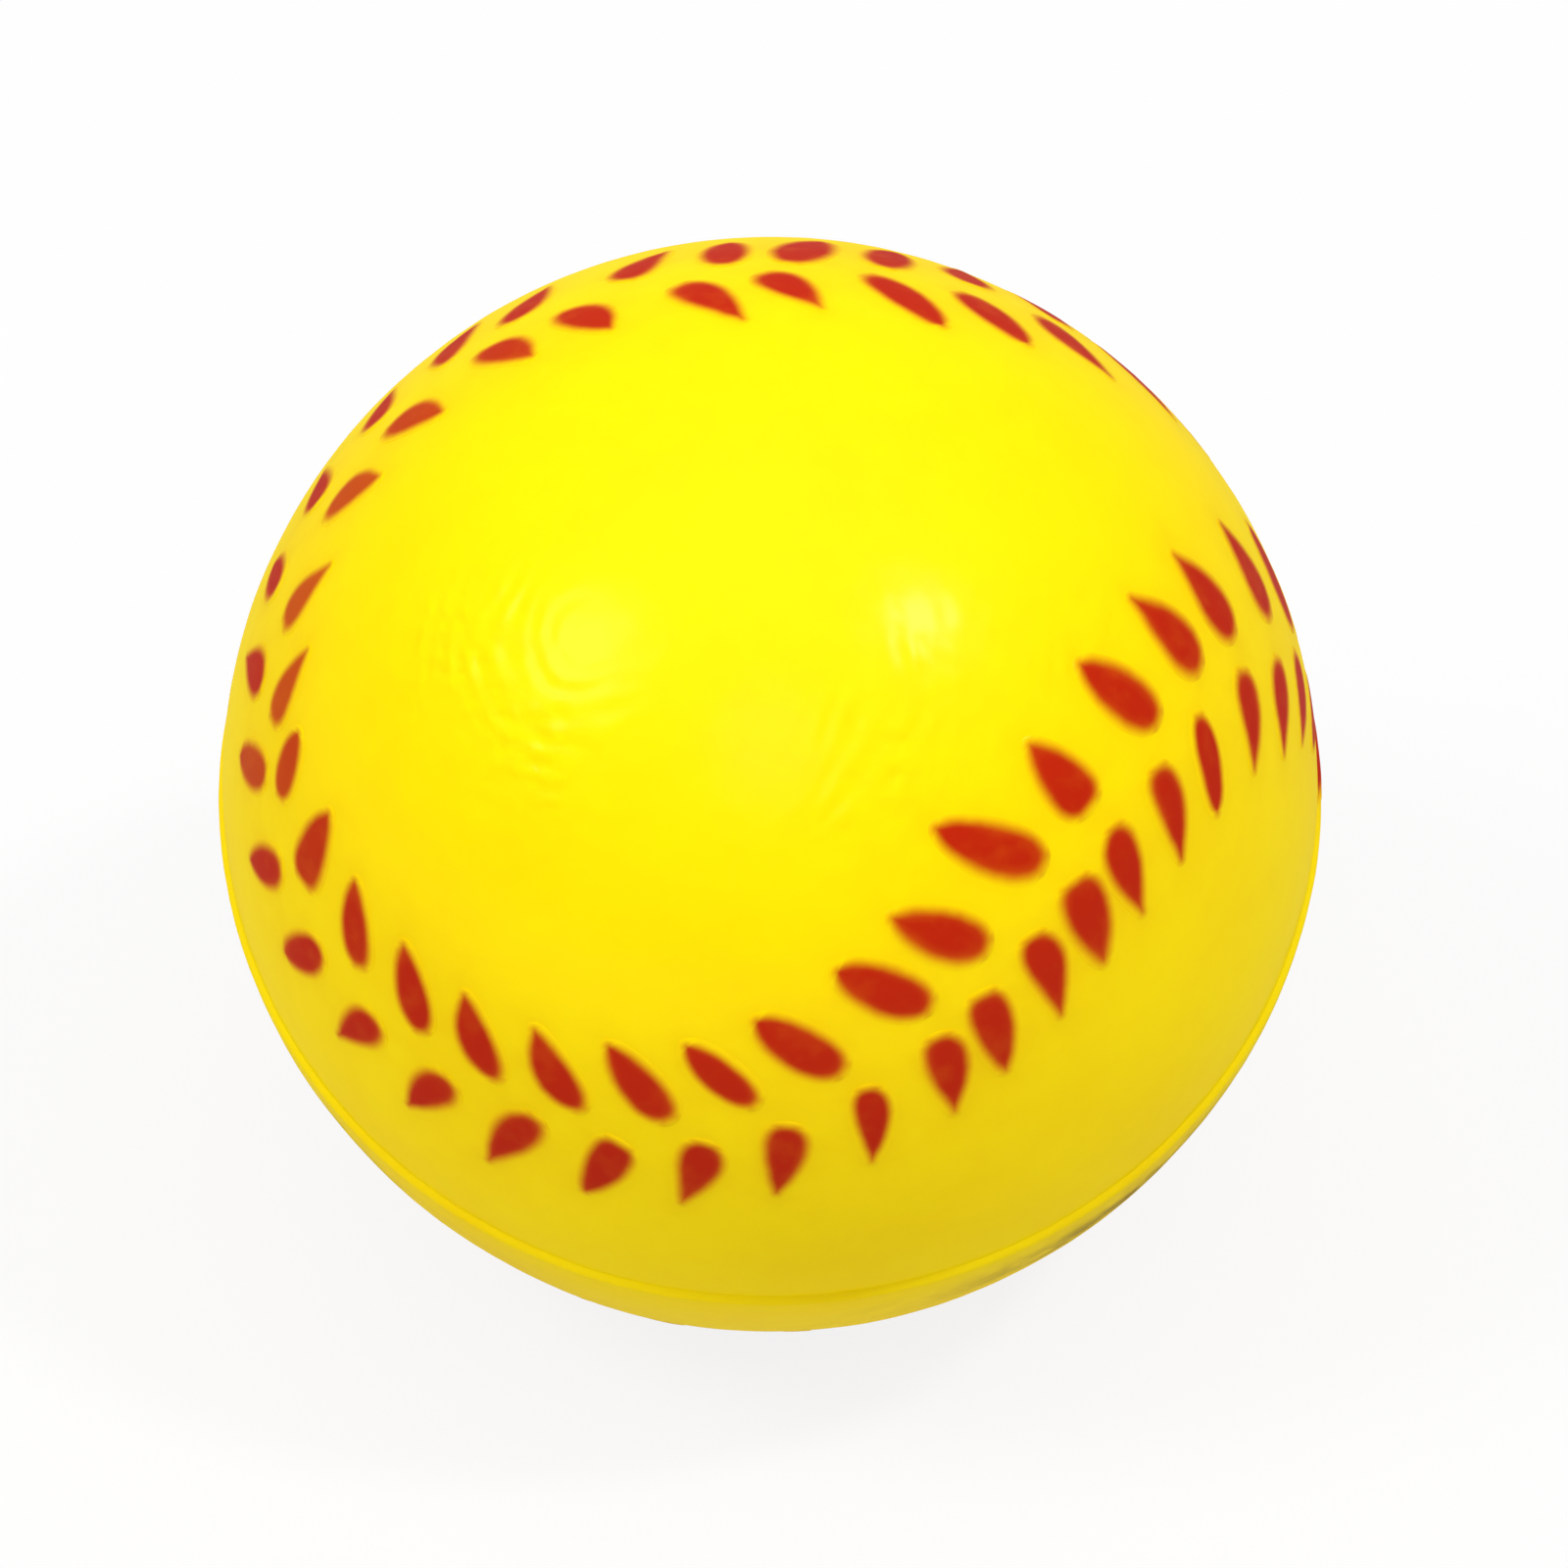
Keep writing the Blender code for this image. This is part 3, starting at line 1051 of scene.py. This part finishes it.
def add_lamp(scene, name, light, elevation, azimuth, width):
    lamp = bpy.data.lights.new(name, "SUN")
    lamp.energy = light
    lamp.angle = math.radians(width)
    obj = bpy.data.objects.new(name, lamp)
    scene.collection.objects.link(obj)
    up, turn = math.radians(elevation), math.radians(azimuth)
    way = Vector((math.cos(up) * math.cos(turn), math.cos(up) * math.sin(turn), math.sin(up)))
    obj.rotation_euler = way.to_track_quat("Z", "Y").to_euler()


def add_camera(scene, ball):
    stage = scene.foam_ball_stage
    lens = bpy.data.cameras.new("camera")
    camera = bpy.data.objects.new("camera", lens)
    scene.collection.objects.link(camera)
    scene.camera = camera
    way = Vector((0, -math.cos(stage.elevation), math.sin(stage.elevation)))
    camera.location = ball.centre + way * stage.distance
    camera.rotation_euler = way.to_track_quat("Z", "Y").to_euler()
    ratio = stage.distance / ball.radius
    lens.lens = lens.sensor_width / 2 * stage.ball_share * math.sqrt(ratio * ratio - 1)
    lens.shift_x = stage.shift


class FOAMBALL_OT_stage(bpy.types.Operator):
    """Adds the floor, the lamps and the camera"""

    bl_idname = "foam_ball.stage"
    bl_label = "Stage"

    def execute(self, context):
        scene = context.scene
        stage = scene.foam_ball_stage
        add_floor(scene)
        scene.world = studio_world(stage)
        for name, angles in LAMPS.items():
            add_lamp(scene, name, getattr(stage, name), *angles)
        add_camera(scene, Ball(scene.foam_ball_sizes))
        scene.view_settings.view_transform = "Standard"
        return {"FINISHED"}


class FOAMBALL_PT_sidebar(bpy.types.Panel):
    """Lists the ball's pieces and their settings"""

    bl_idname = "FOAMBALL_PT_sidebar"
    bl_label = "Foam Ball"
    bl_space_type = "VIEW_3D"
    bl_region_type = "UI"
    bl_category = "Foam Ball"

    def draw(self, context):
        layout = self.layout
        for operator in OPERATORS:
            layout.operator(operator.bl_idname)
        for group in SETTINGS:
            settings = getattr(context.scene, group)
            box = layout.box()
            for name in settings.bl_rna.properties.keys():
                if name not in ("rna_type", "name"):
                    box.prop(settings, name)


OPERATORS = (FOAMBALL_OT_core, FOAMBALL_OT_skin, FOAMBALL_OT_stitches, FOAMBALL_OT_stage)
CLASSES = (BallSizes, BallColours, StageSettings, *OPERATORS, FOAMBALL_PT_sidebar)
SETTINGS = {"foam_ball_sizes": BallSizes, "foam_ball_colours": BallColours, "foam_ball_stage": StageSettings}


def register():
    for cls in CLASSES:
        bpy.utils.register_class(cls)
    for name, group in SETTINGS.items():
        setattr(bpy.types.Scene, name, bpy.props.PointerProperty(type=group))


def unregister():
    for name in SETTINGS:
        delattr(bpy.types.Scene, name)
    for cls in reversed(CLASSES):
        bpy.utils.unregister_class(cls)


def main():
    noise.seed_set(NOISE_SEED)
    register()
    bpy.ops.foam_ball.core()
    bpy.ops.foam_ball.skin()
    bpy.ops.foam_ball.stitches()
    bpy.ops.foam_ball.stage()


if __name__ == "__main__":
    main()
